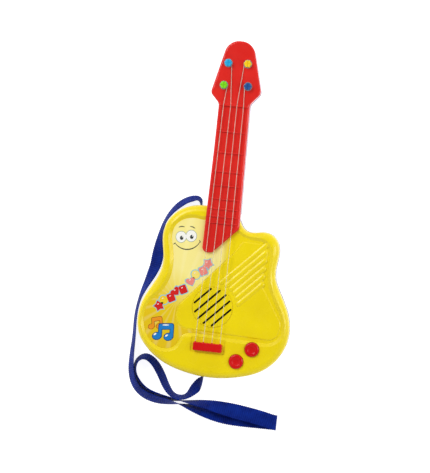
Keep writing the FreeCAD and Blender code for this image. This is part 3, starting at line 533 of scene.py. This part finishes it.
def label_pictures():
    white = screen_ink("white_screen_ink", "#F6F6F0", "#E6E6DE")
    dark = screen_ink("charcoal_screen_ink", "#3A3F3C", "#2B302D")
    grey = screen_ink("sea_green_screen_ink", "#8EA495", "#7F9789")
    pale_blue = screen_ink("pale_blue_screen_ink", "#8CC8D6", "#7BBACB")
    inks = {"red": screen_ink("red_screen_ink", "#D6201A", "#BE1812"),
            "gold": screen_ink("gold_screen_ink", "#F0CF2A", "#E2BC18"),
            "rose": screen_ink("rose_screen_ink", "#EC9086", "#E27B6E"),
            "pale_gold": screen_ink("pale_gold_screen_ink", "#F2DE78", "#EBD25E"),
            "glint": screen_ink("glint_screen_ink", "#F9E4DC", "#F1CFC6")}
    smiling_face(white, dark, grey)
    garland(inks, pale_blue)
    note_pictures(screen_ink("orange_screen_ink", "#EB9A20", "#DA8314"),
                  screen_ink("brown_screen_ink", "#A0521A", "#8A4214"),
                  screen_ink("blue_screen_ink", "#1F83D0", "#176DB4"),
                  screen_ink("navy_screen_ink", "#17456F", "#10365A"), white)


# ---------------------------------------------------------------- strap
STRAP_WIDTH = 0.020
STRAP_THICK = 0.0014
STRAP_CLEAR_MM = 0.4        # how far the lower edge stays above the heights in the list
PACKED_HALF_THICK_MM = 0.8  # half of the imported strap's thickness, which sets its heights
TOOTH = 0.0007              # how far every second rib stands back from the selvedge
# x, y, height of the lower edge, and where the width points: azimuth and rise in degrees.
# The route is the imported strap's; only the tilt is eased, at the top bend and the lower end.
STRAP = [
    (-30, 214, 6, -90, 90), (-30, 221.8, 6, -90, 90), (-34.6, 230.2, 5, -90, 70),
    (-46.5, 228.9, 3, -90, 62), (-59.3, 220.8, 1, -60, 60), (-70.1, 208.8, 0.3, -33, 68),
    (-77.9, 194.5, 0, -14, 74), (-80.2, 180, 0, -4, 64), (-81.4, 161, 0, 0, 42),
    (-82.2, 148, 0, 2, 31), (-83.4, 137, 0, -6, 36), (-87.2, 125.4, 0, -14, 45),
    (-90.9, 115.4, 0, -20, 57), (-95.1, 105, 0, -18, 65), (-98.9, 93.4, 0, -10, 72),
    (-101.4, 80, 0, -4, 74), (-102.4, 64, 0, -2, 72), (-101.3, 41, 0, -2, 71),
    (-102, 15.8, 0, -2, 66), (-100.9, -5.6, 0, 12, 60), (-94.2, -23, 0, 38, 56),
    (-81.2, -34, 0, 62, 54), (-63.6, -38.8, 0, 82, 54), (-46.5, -39.4, 0, 90, 64),
    (-31.4, -40.6, 0, 90, 86), (-15.3, -43.6, 0, 90, 112), (3.9, -48.1, 0, 90, 130),
    (26, -51.3, 0, 90, 150), (49.2, -52, 0, 90, 170), (74.3, -51.8, 0, 90, 180),
    (92.4, -51.5, 0.6, 90, 180), (98, -50.9, 5.5, 90, 180), (92.4, -49.8, 11, 90, 180),
    (75.3, -46, 11.5, 90, 178), (51.2, -42.5, 9, 90, 168), (26, -39.2, 6, 90, 146),
    (1.9, -36.4, 3, 90, 118), (-21.3, -36.3, 0.5, 90, 96), (-43.4, -35.6, 0, 90, 69),
    (-62.8, -33.6, 0, 72, 60), (-79.8, -28.3, 0, 53, 57), (-92.8, -15.4, 0, 30, 60),
    (-97.1, -1.3, 0, 0, 70), (-93.9, 12.2, 0, -37, 73), (-83.2, 17.9, 0, -90, 68),
    (-71, 10.9, 0, -135, 67), (-60.5, -3.8, 0, -150, 66), (-52.2, -19.6, 0, -140, 68),
    (-43, -30.2, 0, -108, 76), (-31.4, -32.6, 0, -90, 76), (-21.2, -28, 0, -40, 68),
    (-12.2, -15.3, 0.5, -32, 38), (-4.7, -5.2, 5, -20, 80), (-4, 7, 6, 0, 90)]


def smooth_line(points):
    """The points of a NURBS spline that has the given points as its control points."""
    data = bpy.data.curves.new("line", "CURVE")
    data.dimensions = "3D"
    data.resolution_u = 24
    spline = data.splines.new("NURBS")
    spline.points.add(len(points) - 1)
    for target, point in zip(spline.points, points):
        target.co = (*point, 1)
    spline.order_u = 3
    spline.use_endpoint_u = True
    holder = bpy.data.objects.new("line", data)
    bpy.context.collection.objects.link(holder)
    mesh = bpy.data.meshes.new_from_object(holder)
    line = [v.co.copy() for v in mesh.vertices]
    bpy.data.objects.remove(holder)
    bpy.data.curves.remove(data)
    bpy.data.meshes.remove(mesh)
    return line


def strap_lines():
    """The strap's middle line and one edge of it, as two smooth lines with equal steps."""
    middles = []
    edges = []
    for x, y, lift, azimuth, rise in STRAP:
        a = math.radians(azimuth)
        e = math.radians(rise)
        height = (lift + STRAP_WIDTH / MM / 2 * abs(math.sin(e))
                  + PACKED_HALF_THICK_MM * abs(math.cos(e)) + STRAP_CLEAR_MM)
        centre = place(x, y, height)
        width = Vector((math.cos(e) * math.cos(a), math.cos(e) * math.sin(a), math.sin(e)))
        middles.append(centre)
        edges.append(centre + width * STRAP_WIDTH / 2)
    return smooth_line(middles), smooth_line(edges)


def evenly(line, other, step):
    """Both lines read again at equal distances along the first."""
    distance = [0.0]
    for a, b in zip(line, line[1:]):
        distance.append(distance[-1] + (b - a).length)
    count = round(distance[-1] / step)
    first = []
    second = []
    at = 0
    for i in range(count + 1):
        target = distance[-1] * i / count
        while at < len(line) - 2 and distance[at + 1] < target:
            at += 1
        share = (target - distance[at]) / max(distance[at + 1] - distance[at], 1e-9)
        first.append(line[at].lerp(line[at + 1], share))
        second.append(other[at].lerp(other[at + 1], share))
    return first, second


def webbing_strap(material):
    """Ribbed webbing with toothed selvedges, whose yarns turn back at each rib."""
    line, edge = strap_lines()
    path, sides = evenly(line, edge, WEAVE_MM * MM / 2)
    across = (-1.0, -0.94, -0.7, -0.35, 0.0, 0.35, 0.7, 0.94, 1.0)
    mesh = bpy.data.meshes.new("strap_webbing")
    shape = bmesh.new()
    cloth = shape.loops.layers.uv.new("webbing")
    rings = []
    for i, point in enumerate(path):
        ahead = path[min(i + 1, len(path) - 1)] - path[max(i - 1, 0)]
        along = ahead.normalized()
        wide = sides[i] - point
        wide = (wide - along * wide.dot(along)).normalized()
        thick = along.cross(wide)
        rib = i % 2 == 0
        half_width = STRAP_WIDTH / 2 - (0.0 if rib else TOOTH)
        ring = []
        for side in (1, -1):
            for u in across if side == 1 else across[::-1]:
                rounding = 1 - 0.55 * abs(u) ** 6
                half = STRAP_THICK / 2 * rounding * (1.0 if rib else 0.80)
                spot = point + wide * (u * half_width) + thick * (side * half)
                spot.z = max(spot.z, 0.0002)
                ring.append((shape.verts.new(spot), u))
        rings.append(ring)
    step = WEAVE_MM * MM / 2
    for i in range(len(rings) - 1):
        a = rings[i]
        b = rings[i + 1]
        for j in range(len(a)):
            k = (j + 1) % len(a)
            face = shape.faces.new((a[j][0], a[k][0], b[k][0], b[j][0]))
            face.smooth = True
            spots = ((a[j][1], i), (a[k][1], i), (b[k][1], i + 1), (b[j][1], i + 1))
            for loop, (u, v) in zip(face.loops, spots):
                loop[cloth].uv = (u * STRAP_WIDTH / 2, v * step)
    shape.faces.new([v for v, u in rings[0]])
    shape.faces.new([v for v, u in reversed(rings[-1])])
    bmesh.ops.recalc_face_normals(shape, faces=shape.faces)
    shape.to_mesh(mesh)
    shape.free()
    mesh.materials.append(material)
    strap = bpy.data.objects.new("strap_webbing", mesh)
    bpy.context.collection.objects.link(strap)
    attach(strap, BODY)
    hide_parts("strap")
    return strap


# ---------------------------------------------------------------- surroundings
TABLE_DROP_MM = 0.2         # the table lies this far below the toy's back


def floor():
    """Plain white light table: opal acrylic, lit a little from within."""
    made, tree, shader, where = start_material("opal_acrylic_table", {
        "IOR": 1.49, "Specular IOR Level": 0.1, "Emission Color": (1, 1, 1, 1),
        "Emission Strength": 0.88})
    mottle(tree, shader, where, ("#C8C8C7", "#CDCDCC"), 300)
    vary_roughness(tree, shader, where, 0.7, 0.85, 60)
    bpy.ops.mesh.primitive_plane_add(size=8, location=(0, 0, -TABLE_DROP_MM * MM))
    table = bpy.context.object
    table.name = "floor"
    table.data.materials.append(made)


def softbox(name, where, aim, size, watts):
    """A rectangular soft light that looks at a point."""
    data = bpy.data.lights.new(name, "AREA")
    data.shape = "RECTANGLE"
    data.size = size[0]
    data.size_y = size[1]
    data.energy = watts
    lamp = bpy.data.objects.new(name, data)
    bpy.context.collection.objects.link(lamp)
    lamp.location = where
    lamp.rotation_euler = (Vector(aim) - Vector(where)).to_track_quat("-Z", "Y").to_euler()


def lighting():
    """A white tent: bright round the sides and dimmer overhead, with two large softboxes."""
    world = bpy.data.worlds.new("studio")
    bpy.context.scene.world = world
    world.use_nodes = True
    tree = world.node_tree
    back = tree.nodes["Background"]
    way = add(tree, "ShaderNodeTexCoord")
    parts = add(tree, "ShaderNodeSeparateXYZ", (), {"Vector": way.outputs["Generated"]})
    tent = add(tree, "ShaderNodeValToRGB", (), {"Fac": parts.outputs["Z"]})
    stops = tent.color_ramp.elements
    stops[0].color = (0.80, 0.80, 0.80, 1)
    stops[1].color = (0.30, 0.30, 0.30, 1)
    for height, grey in ((0.45, 1.0), (0.72, 0.75), (0.90, 0.34)):
        stops.new(height).color = (grey, grey, grey, 1)
    tree.links.new(tent.outputs["Color"], back.inputs["Color"])
    back.inputs["Strength"].default_value = 0.82
    softbox("key", (-0.9, 0.9, 1.5), (0, 0, 0), (0.9, 0.9), 19)
    softbox("fill", (1.2, 0.1, 1.1), (0, 0, 0), (0.5, 1.2), 8)


def camera():
    """Looks almost straight down, with the neck leaning to the right in the frame."""
    lean = math.radians(6.2)
    from_right = math.radians(5.0)
    distance = 2.2
    shown_height = 0.616
    up = Vector((-math.sin(lean), math.cos(lean), 0))
    right = Vector((math.cos(lean), math.sin(lean), 0))
    target = place(-8.1, 183.1, 24)
    back = (right * math.sin(from_right) + Vector((0, 0, math.cos(from_right)))).normalized()
    data = bpy.data.cameras.new("camera")
    data.sensor_fit = "VERTICAL"
    data.angle = 2 * math.atan(shown_height / 2 / distance)
    made = bpy.data.objects.new("camera", data)
    bpy.context.collection.objects.link(made)
    made.location = target + back * distance
    side = up.cross(back).normalized()
    top = back.cross(side)
    turn = [[side[i], top[i], back[i]] for i in range(3)]
    made.rotation_euler = Matrix(turn).to_euler()
    bpy.context.scene.camera = made


def main():
    finish_nodes()
    webbing_strap(woven_webbing())
    label_pictures()
    floor()
    lighting()
    camera()
    bpy.context.scene.view_settings.view_transform = "Standard"


main()
